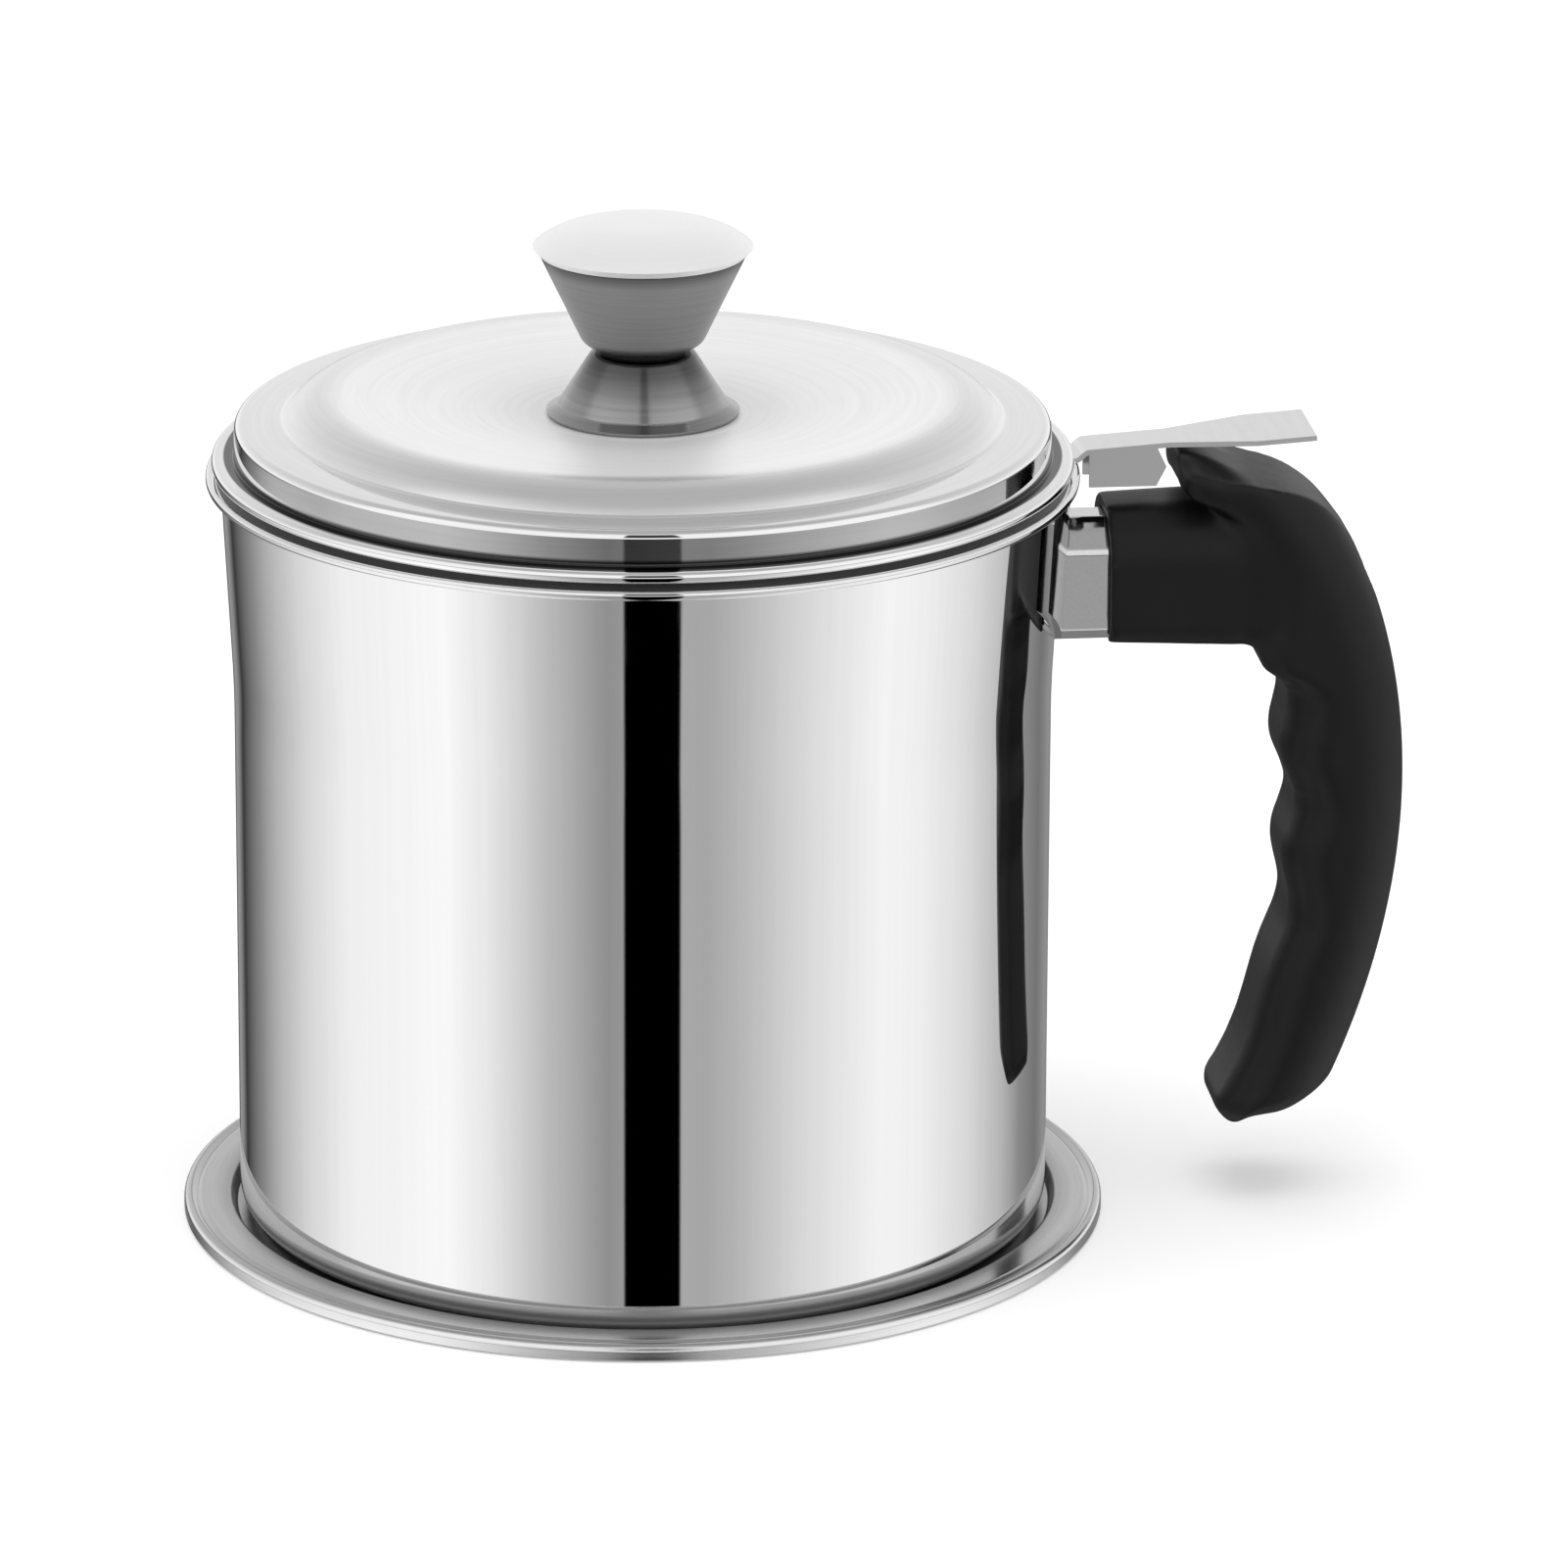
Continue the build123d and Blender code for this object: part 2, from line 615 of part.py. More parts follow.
def lid_shell():
    """Pressed lid: hemmed brim, wall and ledge, then a soft step up to a dished middle."""
    half = LID_SHEET / 2
    wall = LID_WALL_RADIUS - half
    hem_middle = LID_BRIM_RADIUS - LID_HEM_WIDTH / 2
    shoulder = LID_BRIM_TOP + LID_WALL_RISE - half
    ledge_end = LID_WALL_RADIUS - LID_LEDGE_WIDTH
    ledge_top = shoulder + LID_LEDGE_RISE
    centre_line = [
        (HOLE_RADIUS, LID_FLOOR - half),
        (LID_KNOB_SEAT_RADIUS, LID_FLOOR - half),
        (ledge_end - LID_STEP_RUN, ledge_top + LID_STEP_RISE),
        (ledge_end, ledge_top),
        (wall - LID_WALL_DRAFT, shoulder),
        (wall, LID_BRIM_TOP - half),
        (hem_middle, LID_BRIM_TOP - half),
    ]
    bends = [LID_DISH_BEND, LID_CREST_BEND, LID_VALLEY_BEND, LID_SHOULDER_BEND, LID_BRIM_BEND]
    shell = sheet(centre_line, bends, LID_SHEET)
    hem = Pos(hem_middle, LID_SEAT + LID_BRIM_THICKNESS / 2) * Rectangle(
        LID_HEM_WIDTH, LID_BRIM_THICKNESS
    )
    hem = fillet(hem.vertices().group_by(Axis.X)[-1], LID_BRIM_THICKNESS * 0.45)
    return turned(shell + Plane.XZ * hem)


def lid_plug_ring():
    """Ring welded inside the lid's wall that centres the lid in the strainer."""
    outer = STRAINER_WALL_RADIUS - STRAINER_SHEET - PLUG_RING_CLEARANCE
    wall = outer - LID_SHEET / 2
    shelf = LID_BRIM_TOP - LID_SHEET * 1.5
    centre_line = [
        (wall, LID_SEAT - PLUG_RING_DEPTH),
        (wall, shelf),
        (LID_BRIM_RADIUS - LID_HEM_WIDTH, shelf),
    ]
    return turned(sheet(centre_line, [PLUG_RING_BEND], LID_SHEET))


def knob_skirt():
    """Spun cone that stands on the lid."""
    half = KNOB_SHEET / 2
    centre_line = [
        (HOLE_RADIUS, SKIRT_TOP - half),
        (KNOB_SKIRT_TOP_RADIUS - half, SKIRT_TOP - half),
        (KNOB_SKIRT_RADIUS - KNOB_LIP_WIDTH - half, LID_FLOOR + KNOB_LIP_RISE),
        (KNOB_SKIRT_RADIUS - half, LID_FLOOR + half),
    ]
    return turned(sheet(centre_line, [KNOB_SKIRT_BEND, KNOB_LIP_BEND], KNOB_SHEET))


def knob_collar():
    """Dark spacer between the two cones."""
    return ring(HOLE_RADIUS, KNOB_COLLAR_RADIUS, SKIRT_TOP, KNOB_COLLAR_HEIGHT)


def knob_cup():
    """Upper cone that the fingers hold."""
    half = KNOB_SHEET / 2
    centre_line = [
        (HOLE_RADIUS, CUP_BOTTOM + half),
        (KNOB_CUP_BASE_RADIUS - half, CUP_BOTTOM + half),
        (KNOB_CUP_RADIUS - half, CUP_TOP),
    ]
    above = Pos(0, 0, CUP_TOP + KNOB_CUP_HEIGHT / 2) * Cylinder(KNOB_CAP_RADIUS, KNOB_CUP_HEIGHT)
    return turned(sheet(centre_line, [KNOB_CUP_BEND], KNOB_SHEET)) - above


def knob_cap():
    """Domed lid of the knob, resting on the cup's edge."""
    edge_top = CUP_TOP + KNOB_CAP_EDGE
    crown = edge_top + KNOB_CAP_RISE
    shoulder = (KNOB_CAP_RADIUS * 0.72, edge_top + KNOB_CAP_RISE * 0.68)
    outline = [
        Line((0, CUP_TOP), (KNOB_CUP_RADIUS, CUP_TOP)),
        Line((KNOB_CUP_RADIUS, CUP_TOP), (KNOB_CAP_RADIUS, edge_top)),
        Spline(
            (KNOB_CAP_RADIUS, edge_top),
            shoulder,
            (0, crown),
            tangents=[(-1.0, 1.0), (-1.0, 0.0)],
        ),
        Line((0, crown), (0, CUP_TOP)),
    ]
    return turned(Plane.XZ * make_face(outline))


def knob_nut():
    """Hexagon nut held in the bottom of the cup."""
    section = RegularPolygon(KNOB_NUT_WIDTH / 2, 6, major_radius=False)
    section -= Circle(KNOB_SCREW_RADIUS)
    return Pos(0, 0, CUP_BOTTOM + KNOB_SHEET) * extrude(section, KNOB_NUT_HEIGHT)


def knob_washer():
    """Flat washer under the lid."""
    top = LID_FLOOR - LID_SHEET
    return ring(HOLE_RADIUS, KNOB_WASHER_RADIUS, top - KNOB_WASHER_THICKNESS, KNOB_WASHER_THICKNESS)


def knob_screw():
    """Slotted screw from under the lid up into the knob's nut."""
    head_top = LID_FLOOR - LID_SHEET - KNOB_WASHER_THICKNESS
    head = Pos(0, 0, head_top - KNOB_SCREW_HEAD_HEIGHT / 2) * Cylinder(
        KNOB_SCREW_HEAD_RADIUS, KNOB_SCREW_HEAD_HEIGHT
    )
    head = fillet(head.edges().group_by(Axis.Z)[0], KNOB_SCREW_HEAD_HEIGHT / 3)
    slot = Pos(0, 0, head_top - KNOB_SCREW_HEAD_HEIGHT) * Box(
        3 * KNOB_SCREW_HEAD_RADIUS, SCREW_SLOT_WIDTH, KNOB_SCREW_HEAD_HEIGHT
    )
    tail = CUP_BOTTOM + KNOB_SHEET + KNOB_NUT_HEIGHT + KNOB_SCREW_TAIL
    shank = Pos(0, 0, (head_top + tail) / 2) * Cylinder(KNOB_SCREW_RADIUS, tail - head_top)
    return shank + (head - slot)


SUB_PARTS = [
    drip_tray,
    pot_body,
    handle_bracket,
    bracket_plug,
    handle_grip,
    handle_washer,
    handle_screw,
    strainer_rim,
    strainer_mesh,
    mesh_band,
    strainer_handle,
    lid_shell,
    lid_plug_ring,
    knob_skirt,
    knob_collar,
    knob_cup,
    knob_cap,
    knob_nut,
    knob_washer,
    knob_screw,
]

os.makedirs("parts", exist_ok=True)
for make in SUB_PARTS:
    export_step(make(), f"parts/{make.__name__}.step")
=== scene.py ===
import math

import bmesh
import bpy
import numpy as np
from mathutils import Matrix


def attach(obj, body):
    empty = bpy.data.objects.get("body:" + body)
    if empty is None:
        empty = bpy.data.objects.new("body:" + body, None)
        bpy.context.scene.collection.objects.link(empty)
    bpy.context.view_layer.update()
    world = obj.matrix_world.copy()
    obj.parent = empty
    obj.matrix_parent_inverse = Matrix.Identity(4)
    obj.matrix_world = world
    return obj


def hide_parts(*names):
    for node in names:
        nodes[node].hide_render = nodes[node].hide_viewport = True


# A covered steel pot for strained frying fat, dressed for a plain studio.
# Lengths are in metres, in the part's own frame.

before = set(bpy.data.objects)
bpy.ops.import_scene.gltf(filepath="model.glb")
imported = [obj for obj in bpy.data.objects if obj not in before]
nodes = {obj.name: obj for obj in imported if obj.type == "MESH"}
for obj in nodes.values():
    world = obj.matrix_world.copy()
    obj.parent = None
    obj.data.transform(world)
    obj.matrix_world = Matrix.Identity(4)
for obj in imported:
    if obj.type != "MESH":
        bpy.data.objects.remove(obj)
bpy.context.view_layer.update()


# Shader kit


class Signal:
    """A number that varies over a surface; an expression on it adds its Math nodes."""

    def __init__(self, tree, socket):
        self.tree = tree
        self.socket = socket

    def math(self, operation, *values):
        node = add_node(self.tree, "ShaderNodeMath", {"operation": operation})
        for slot, value in enumerate([self, *values]):
            feed(self.tree, node.inputs[slot], value)
        return Signal(self.tree, node.outputs[0])

    def __add__(self, other):
        return self.math("ADD", other)

    def __sub__(self, other):
        return self.math("SUBTRACT", other)

    def __mul__(self, other):
        return self.math("MULTIPLY", other)

    def __truediv__(self, other):
        return self.math("DIVIDE", other)

    def __rsub__(self, other):
        return (self * -1.0).math("ADD", other)

    def between(self, low, high, start=0.0, end=1.0):
        """Smooth step from start at low to end at high."""
        node = add_node(
            self.tree,
            "ShaderNodeMapRange",
            {"interpolation_type": "SMOOTHSTEP"},
            {"Value": self, "From Min": low, "From Max": high, "To Min": start, "To Max": end},
        )
        return Signal(self.tree, node.outputs["Result"])

    def band(self, rise, fall):
        """1 between two soft edges, each given as its (outer, inner) values."""
        return self.between(*rise) * self.between(*fall)

    def ramp(self, stops):
        """Grey value from (place, value) stops."""
        node = add_node(self.tree, "ShaderNodeValToRGB", {"stops": stops}, {"Fac": self})
        return Signal(self.tree, node.outputs["Color"])


def feed(tree, socket, value):
    """Sets a socket, or links it if the value is a signal or another node's socket."""
    if isinstance(value, Signal):
        value = value.socket
    if isinstance(value, bpy.types.NodeSocket):
        tree.links.new(value, socket)
    else:
        socket.default_value = value


def grey(level):
    return (level, level, level)


def add_node(tree, kind, settings=None, inputs=None):
    """Adds a node, sets what it is, then feeds its sockets by name or number."""
    node = tree.nodes.new(kind)
    for name, value in (settings or {}).items():
        if name == "stops":
            stops = node.color_ramp.elements
            while len(stops) < len(value):
                stops.new(1.0)
            for stop, (place, level) in zip(stops, value):
                stop.position = place
                stop.color = (*grey(level), 1.0)
        else:
            setattr(node, name, value)
    for socket, value in (inputs or {}).items():
        feed(tree, node.inputs[socket], value)
    return node


def socket_name(name):
    """Name of a shader's socket, written as a keyword."""
    return name.replace("_", " ").title().replace("Ior", "IOR")


LINE_DRIFT = 30.0  # how fast turned lines break off along their run, per metre


class Finish:
    """A procedural material on one Principled shader, read from object coordinates."""

    def __init__(self, name, **constants):
        self.material = bpy.data.materials.new(name)
        self.material.use_nodes = True
        self.tree = self.material.node_tree
        self.shader = self.tree.nodes["Principled BSDF"]
        for name, value in constants.items():
            self.shader.inputs[socket_name(name)].default_value = value
        self.point = self.node("ShaderNodeTexCoord").outputs["Object"]
        apart = self.node("ShaderNodeSeparateXYZ", inputs={0: self.point})
        self.x, self.y, self.z = (Signal(self.tree, socket) for socket in apart.outputs)

    def node(self, kind, settings=None, inputs=None):
        return add_node(self.tree, kind, settings, inputs)

    def vector(self, x, y, z):
        return self.node("ShaderNodeCombineXYZ", inputs={0: x, 1: y, 2: z}).outputs[0]

    def noise(self, place, scale, detail=3.0, rough=0.5):
        node = self.node(
            "ShaderNodeTexNoise",
            inputs={"Vector": place, "Scale": scale, "Detail": detail, "Roughness": rough},
        )
        return Signal(self.tree, node.outputs["Fac"])

    def radius(self):
        """Distance from the pot's axis."""
        return (self.x * self.x + self.y * self.y).math("SQRT")

    def turn(self):
        """Angle about the pot's axis."""
        return self.y.math("ARCTAN2", self.x)

    def turned(self, fine):
        """Fine lines that run round the axis, on walls and flats alike, from 0 to 1."""
        return self.noise(
            self.vector(
                self.radius() * fine + self.x * LINE_DRIFT,
                self.z * fine + self.y * LINE_DRIFT,
                (self.x - self.y) * LINE_DRIFT,
            ),
            1.0,
            detail=4.0,
        )

    def marks(self, scale=45.0, rough=0.6):
        """Cloudy marks of handling and wiping, from 0 to 1."""
        return self.noise(self.point, scale, detail=5.0, rough=rough)

    def plain(self, shade):
        """Grey of a level."""
        return self.node("ShaderNodeCombineColor", inputs={0: shade, 1: shade, 2: shade}).outputs[0]

    def colours(self, mask, low, high):
        """Colour between two plain colours."""
        node = self.node(
            "ShaderNodeMix", {"data_type": "RGBA"}, {0: mask, 6: (*low, 1.0), 7: (*high, 1.0)}
        )
        return node.outputs[2]

    def set(self, **sockets):
        for name, value in sockets.items():
            feed(self.tree, self.shader.inputs[socket_name(name)], value)

    def relief(self, height, depth):
        """Bump from a height signal of 0 to 1 and its depth in metres."""
        bump = self.node("ShaderNodeBump", inputs={"Height": height * depth, "Distance": 1.0})
        feed(self.tree, self.shader.inputs["Normal"], bump.outputs[0])


# Camera and studio

LENS = 230.2  # in millimetres, on a sensor of 36
CAMERA_PLACE = (-0.1352, -1.4041, 0.5164)
CAMERA_DROP = 17.74  # degrees below level
CAMERA_HEADING = -5.5
CAMERA_ROLL = -0.806
FLOOR_RADIUS = 5.0
FLOOR_WHITE = (0.975, 0.985)
FLOOR_GLOW = 0.16  # what the camera sees of the table top on top of its lit colour
SKYLIGHT_POWER = 11.0
SKYLIGHT_WIDTH = 1.6
SKYLIGHT_HEIGHT = 1.5
CAMERA_TURN = 95.5  # degrees that bring the camera's side of the room to the studio's zero

# Light from the side panels by degrees round the room, and from the ceiling by height of the view
RING_TOP = 1.1
RING = [
    (-180.0, 0.06),
    (-172.0, 0.10),
    (-167.0, 0.32),
    (-161.0, 0.24),
    (-155.0, 0.04),
    (-149.0, 0.12),
    (-138.0, 0.27),
    (-126.0, 0.50),
    (-109.0, 0.78),
    (-91.0, 1.00),
    (-57.0, 1.10),
    (-44.0, 0.92),
    (-27.0, 0.58),
    (-10.0, 0.32),
    (-5.0, 0.36),
    (8.0, 0.46),
    (18.0, 0.44),
    (29.0, 0.56),
    (41.0, 0.73),
    (53.0, 0.87),
    (72.0, 1.05),
    (85.0, 1.00),
    (103.0, 0.82),
    (123.0, 0.53),
    (136.0, 0.28),
    (150.0, 0.19),
    (163.0, 0.29),
    (172.0, 0.26),
    (180.0, 0.06),
]
CEILING_BEHIND = [(0.0, 0.96), (0.10, 0.95), (0.27, 0.82), (0.50, 0.70), (0.73, 0.57), (0.95, 0.45)]
CEILING_AHEAD = [(0.0, 0.98), (0.70, 1.00), (0.84, 0.70), (0.95, 0.45)]
CEILING_CHANGE = (100.0, 84.0)
SKIRTING_TOP = (-0.065, -0.095)
PANEL_TOP = (-0.205, -0.235)
SKIRTING_LEVEL = 0.5
SLOT_SIDES = ((0.4840, 0.4868), (0.5305, 0.5277))  # as shares of the way round the room
SLOT_ENDS = ((0.17, 0.20), (0.82, 0.72))
SLOT_DARKNESS = 0.95
SLOT_SKIRTING_DARKNESS = 0.8


def make_camera():
    """Long lens, a little above the pot, with the handle to the right."""
    camera = bpy.data.objects.new("studio_camera", bpy.data.cameras.new("studio_camera"))
    bpy.context.scene.collection.objects.link(camera)
    camera.data.lens = LENS
    camera.data.sensor_width = 36.0
    camera.data.clip_end = 20.0
    camera.location = CAMERA_PLACE
    camera.rotation_euler = (math.radians(90.0 - CAMERA_DROP), 0.0, math.radians(CAMERA_HEADING))
    camera.rotation_euler.rotate_axis("Y", math.radians(CAMERA_ROLL))
    bpy.context.scene.camera = camera


def make_studio():
    """Tent of soft light: bright side panels, a tall dark slot in front and a pale ceiling."""
    world = bpy.data.worlds.new("studio")
    bpy.context.scene.world = world
    world.use_nodes = True
    tree = world.node_tree
    sky = add_node(tree, "ShaderNodeTexCoord").outputs["Generated"]
    turned = add_node(
        tree,
        "ShaderNodeVectorRotate",
        {"rotation_type": "Z_AXIS"},
        {"Vector": sky, "Angle": math.radians(CAMERA_TURN)},
    )
    apart = add_node(tree, "ShaderNodeSeparateXYZ", inputs={0: turned.outputs[0]})
    x, y, z = (Signal(tree, socket) for socket in apart.outputs)
    side = y.math("ARCTAN2", x) / math.tau + 0.5
    away = (side - 0.5).math("ABSOLUTE") * 360.0
    panels = side.ramp([(0.5 + turn / 360.0, level / RING_TOP) for turn, level in RING]) * RING_TOP
    slot = side.band(*SLOT_SIDES)
    front = away.between(*CEILING_CHANGE)
    ceiling = z.ramp(CEILING_BEHIND) * (1.0 - front) + z.ramp(CEILING_AHEAD) * front
    low = z.between(*PANEL_TOP)
    skirting = z.between(*SKIRTING_TOP) * (1.0 - low)
    level = ceiling * (1.0 - low - skirting)
    level = level + panels * (1.0 - slot) * low
    level = level + panels * (1.0 - slot * SLOT_SKIRTING_DARKNESS) * skirting * SKIRTING_LEVEL
    level = level * (1.0 - slot * z.band(*SLOT_ENDS) * SLOT_DARKNESS)
    camera_ray = Signal(tree, add_node(tree, "ShaderNodeLightPath").outputs["Is Camera Ray"])
    background = tree.nodes["Background"]
    feed(tree, background.inputs["Color"], (1.0, 1.0, 1.0, 1.0))
    feed(tree, background.inputs["Strength"], level * (1.0 - camera_ray) + camera_ray)


def make_skylight():
    """Wide soft lamp overhead, which brings dull surfaces to the level they are written at."""
    lamp = bpy.data.objects.new("skylight", bpy.data.lights.new("skylight", "AREA"))
    bpy.context.scene.collection.objects.link(lamp)
    lamp.data.shape = "DISK"
    lamp.data.size = SKYLIGHT_WIDTH
    lamp.data.energy = SKYLIGHT_POWER
    lamp.location = (0.0, 0.0, SKYLIGHT_HEIGHT)
    lamp.visible_glossy = False
    lamp.visible_camera = False


def make_floor():
    """Pale table top that keeps the soft shadow and lets the metal see the studio below."""
    shape = bmesh.new()
    bmesh.ops.create_circle(shape, cap_ends=True, segments=96, radius=FLOOR_RADIUS)
    mesh = bpy.data.meshes.new("table_top")
    shape.to_mesh(mesh)
    shape.free()
    floor = bpy.data.objects.new("table_top", mesh)
    bpy.context.scene.collection.objects.link(floor)
    finish = Finish("table_white", roughness=0.9, specular_ior_level=0.0)
    speckle = finish.noise(finish.point, 40.0)
    finish.set(base_color=finish.colours(speckle, *map(grey, FLOOR_WHITE)))
    light_path = finish.node("ShaderNodeLightPath")
    camera_ray = Signal(finish.tree, light_path.outputs["Is Camera Ray"])
    glow = finish.node("ShaderNodeEmission", inputs={"Strength": camera_ray * FLOOR_GLOW})
    lit = finish.node(
        "ShaderNodeAddShader", inputs={0: finish.shader.outputs[0], 1: glow.outputs[0]}
    )
    clear = finish.node("ShaderNodeBsdfTransparent")
    mixed = finish.node(
        "ShaderNodeMixShader",
        inputs={0: light_path.outputs["Is Glossy Ray"], 1: lit.outputs[0], 2: clear.outputs[0]},
    )
    finish.tree.links.new(mixed.outputs[0], finish.tree.nodes["Material Output"].inputs["Surface"])
    mesh.materials.append(finish.material)


# Finishes

# Where a finish changes, as (outer, inner) or (from, to) pairs of a radius or a height
MARKS_SHOW = (0.52, 0.75)
FLARE_FROM = 0.0813  # height from which the pot's wall opens, and how much it opens a metre
FLARE_SLOPE = 0.0525
POT_INSIDE_WALL = (-0.0597, -0.0595)
POT_INSIDE_TOP = (0.1128, 0.1124)
POT_INSIDE_FLOOR = (0.0010, 0.0013)
POT_BEND_RADIUS = (0.0552, 0.0556)
POT_BEND_TOP = (0.0048, 0.0044)
POT_SHADED_FOOT_TOP = (0.0049, 0.0045)
LID_SATIN = (0.0480, 0.0430)
LID_STEP = (0.0534, 0.0522)
LID_BRIM_SHADE = ((0.0595, 0.0599), (0.0614, 0.0611))  # painted shade over the brim, where it meets the wall
LID_BRIM_SHADE_TOP = (0.1174, 0.1168)
TRAY_WELL_SHADE = (0.0612, 0.0648)
TRAY_EDGE_HIGHLIGHT = (0.0678, 0.0682)
TRAY_EDGE_HIGHLIGHT_TOP = (0.0025, 0.0021)
FLANGE_GAP_SHADE = ((0.0609, 0.0612), (0.0640, 0.0636))
# Painted shade: the knob's cup and skirt darken towards their tops, under the parts above them.
CUP_SHADE = (0.1462, 0.1438, 0.45, 1.0)
SKIRT_SHADE = (0.1235, 0.1312, 1.0, 0.25)


def polished(name, shine, low, high, fine=1900.0, depth=5.0e-7, streak=0.05, metal=1.0, height_shade=None):
    """Polished steel with fine lines, handling marks and, if given, painted shade that darkens its
    colour over a height range.
    """
    finish = Finish(name, metallic=metal)
    lines = finish.turned(fine)
    marks = finish.marks()
    shade = lines * (high - low) + low
    # Painted shade, darker towards one end of the given height range.
    if height_shade:
        shade = shade * finish.z.between(*height_shade)
    finish.set(
        base_color=finish.plain(shade),
        roughness=lines * streak + marks.between(*MARKS_SHOW) * 0.04 + shine,
    )
    finish.relief(lines + marks * 2.0, depth)
    return finish.material


def drawn_mirror():
    """Pot: outside polished to faint upright streaks, duller at the rounded bottom bend where painted
    shade darkens its colour, satin inside.
    """
    finish = Finish("pot_mirror")
    radius = finish.radius()
    streaks = finish.noise(finish.vector(finish.turn() * 54.0, radius * 60.0, finish.z * 9.0), 1.0)
    marks = finish.marks(38.0)
    opening = (finish.z - FLARE_FROM).math("MAXIMUM", 0.0) * FLARE_SLOPE
    bend = radius.between(*POT_BEND_RADIUS) * finish.z.between(*POT_BEND_TOP)
    inside = (opening - radius).between(*POT_INSIDE_WALL) * finish.z.between(*POT_INSIDE_TOP)
    inside = inside * finish.z.between(*POT_INSIDE_FLOOR) * (1.0 - bend)
    # Rounded bottom bend outside: duller, with painted shade darkening its colour.
    dull_shaded_foot = finish.z.between(*POT_SHADED_FOOT_TOP) * (1.0 - inside)
    dull = dull_shaded_foot + inside
    finish.set(
        base_color=finish.plain((streaks * 0.05 + 0.83) * (1.0 - dull_shaded_foot * 0.38)),
        metallic=1.0 - dull * 0.35,
        roughness=streaks * 0.02 + marks.between(0.55, 0.80) * 0.03 + dull * 0.24 + 0.015,
    )
    finish.relief(streaks + marks, 1.5e-7)
    return finish.material


def lid_mirror():
    """Lid: mirror ledge and wall, satin raised middle, painted shade where the brim meets the wall."""
    finish = Finish("lid_mirror")
    radius = finish.radius()
    lines = finish.turned(1500.0)
    marks = finish.marks()
    satin = radius.between(*LID_SATIN)
    step = radius.between(*LID_STEP)
    # Painted shade: darkens the colour where the brim meets the wall.
    brim_shade = radius.band(*LID_BRIM_SHADE) * finish.z.between(*LID_BRIM_SHADE_TOP)
    wear = lines * 0.03 + marks.between(*MARKS_SHOW) * 0.03 + 0.03
    finish.set(
        base_color=finish.plain(lines.between(0.2, 0.8, 0.87, 0.93) * (1.0 - brim_shade * 0.96)),
        metallic=1.0 - satin * 0.65,
        roughness=satin * 0.09 + step * 0.26 + wear,
    )
    finish.relief(lines + marks, 2.0e-7)
    return finish.material


def tray_satin():
    """Tray: satin, with painted shade darkening the band next to the well and a painted highlight on
    the turned-down edge.
    """
    finish = Finish("tray_satin", metallic=1.0)
    radius = finish.radius()
    lines = finish.turned(1700.0)
    stains = finish.marks(60.0, 0.65)
    # Painted highlight on the turned-down edge, and painted shade that darkens the band towards the
    # well.
    edge = radius.between(*TRAY_EDGE_HIGHLIGHT) * finish.z.between(*TRAY_EDGE_HIGHLIGHT_TOP)
    tone = radius.between(*TRAY_WELL_SHADE, 0.44, 0.62) + edge * 0.33
    finish.set(
        base_color=finish.plain(tone * (lines * 0.22 + 0.78) + stains.between(0.55, 0.75) * 0.04),
        roughness=lines * 0.12 + stains * 0.08 + 0.13,
    )
    finish.relief(lines + stains, 8.0e-7)
    return finish.material


def strainer_polish():
    """Strainer ring: polished, with painted shade darkening and dulling its flange's outer edge, in the
    gap between the lid's brim and the pot's rim.
    """
    finish = Finish("strainer_polish", metallic=1.0)
    lines = finish.turned(1900.0)
    # Painted shade: the flange's outer edge sits in the gap between the lid's brim and the pot's rim.
    edge = finish.radius().band(*FLANGE_GAP_SHADE)
    finish.set(
        base_color=finish.plain(lines.between(0.2, 0.8, 0.70, 0.80) * (1.0 - edge * 0.93)),
        roughness=lines * 0.05 + edge * 0.3 + 0.08,
    )
    finish.relief(lines, 5.0e-7)
    return finish.material


def moulded_black(name, shine):
    """Moulded black plastic: fine pebbling, with a cloudy sheen from handling."""
    finish = Finish(name, specular_ior_level=0.26)
    grain = finish.noise(finish.point, 900.0)
    cloud = finish.noise(finish.point, 38.0, detail=4.0, rough=0.6)
    finish.set(
        base_color=finish.colours(cloud, grey(0.0045), grey(0.0075)),
        roughness=cloud * 0.12 + grain * 0.06 + shine,
    )
    finish.relief(grain, 7.0e-6)
    return finish.material


def wire_steel():
    """Drawn wire, a little dull and patchy in tone."""
    finish = Finish("wire_drawn", metallic=1.0)
    patch = finish.noise(finish.point, 160.0, detail=4.0, rough=0.6)
    finish.set(
        base_color=finish.colours(patch, grey(0.44), grey(0.66)),
        roughness=patch * 0.14 + 0.22,
    )
    return finish.material


FINISHES = {
    "tray": tray_satin(),
    "pot": drawn_mirror(),
    "bracket": polished("bracket_polish", 0.06, 0.66, 0.76),
    "lid": lid_mirror(),
    "strainer": strainer_polish(),
    "strip": polished("strip_polish", 0.12, 0.76, 0.86, fine=700.0),
    "cap": polished("cap_satin", 0.30, 0.88, 0.94, 2400.0, 6.0e-7, streak=0.08, metal=0.5),
    "cup": polished("cup_satin", 0.30, 0.22, 0.32, 2400.0, 8.0e-7, 0.10, height_shade=CUP_SHADE),
    "skirt": polished("skirt_brushed", 0.10, 0.26, 0.44, 1600.0, 6.0e-7, 0.10, height_shade=SKIRT_SHADE),
    "fastener": polished("fastener_plain", 0.25, 0.50, 0.62, fine=2600.0, streak=0.12),
    "wire": wire_steel(),
    "grip": moulded_black("grip_black", 0.34),
    "collar": moulded_black("collar_black", 0.42),
}
